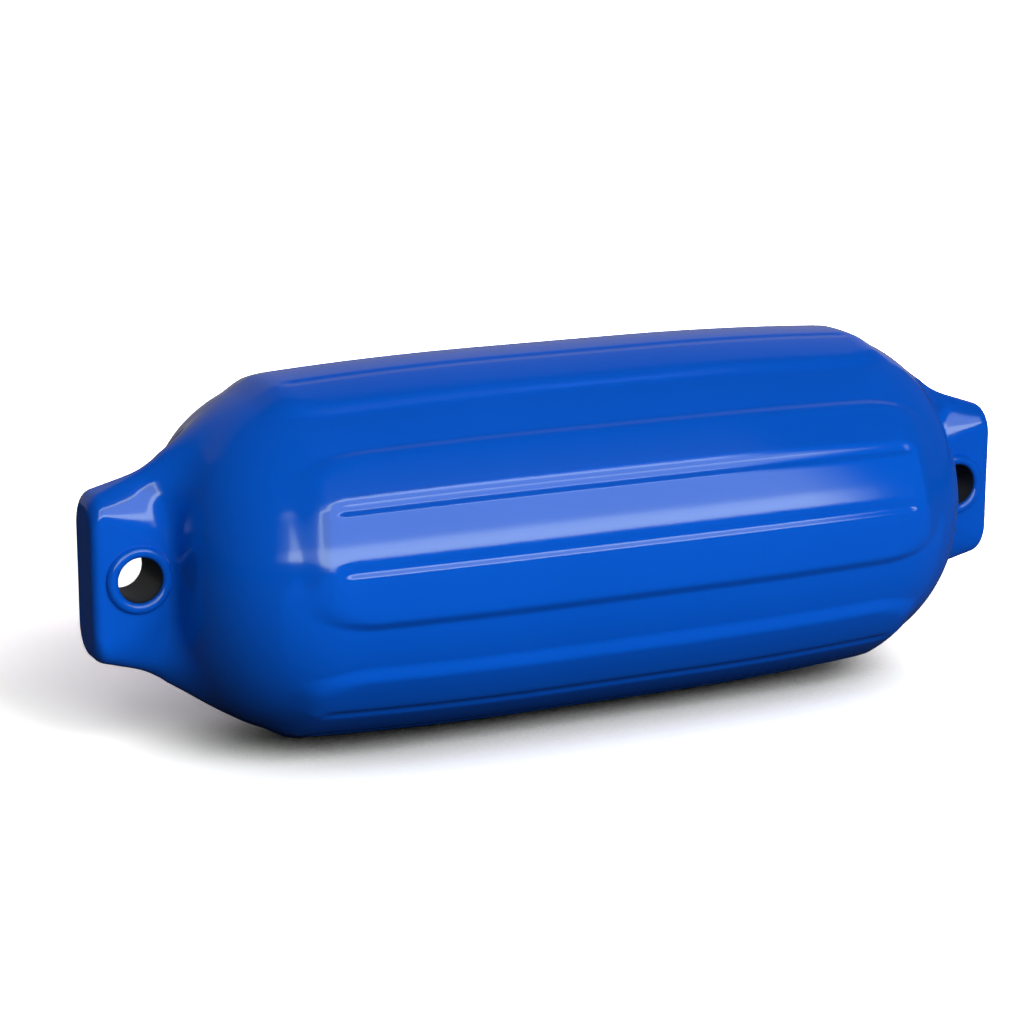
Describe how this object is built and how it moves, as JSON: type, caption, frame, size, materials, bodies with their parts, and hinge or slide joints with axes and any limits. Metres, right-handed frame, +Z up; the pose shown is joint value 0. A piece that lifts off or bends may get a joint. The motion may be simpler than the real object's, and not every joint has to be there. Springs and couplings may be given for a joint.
{
  "type": "boat fender",
  "caption": "Inflatable vinyl boat fender with raised lengthwise panels, domed ends and a flat rope-eye tab at each end.",
  "frame": {"origin": "on the ground, under the middle of the fender", "axes": "+X along the fender from tab to tab, towards the end with the valve; +Z up, in the plane of the tabs; the ropes' eyes run along Y"},
  "size_m": [0.76, 0.2788, 0.2787],
  "materials": {
    "blue_vinyl": "gloss",
    "black_rubber": "matte"
  },
  "bodies": {
    "root": {"fender_body": "blue_vinyl", "inflation_valve": "black_rubber"}
  },
  "joints": []
}
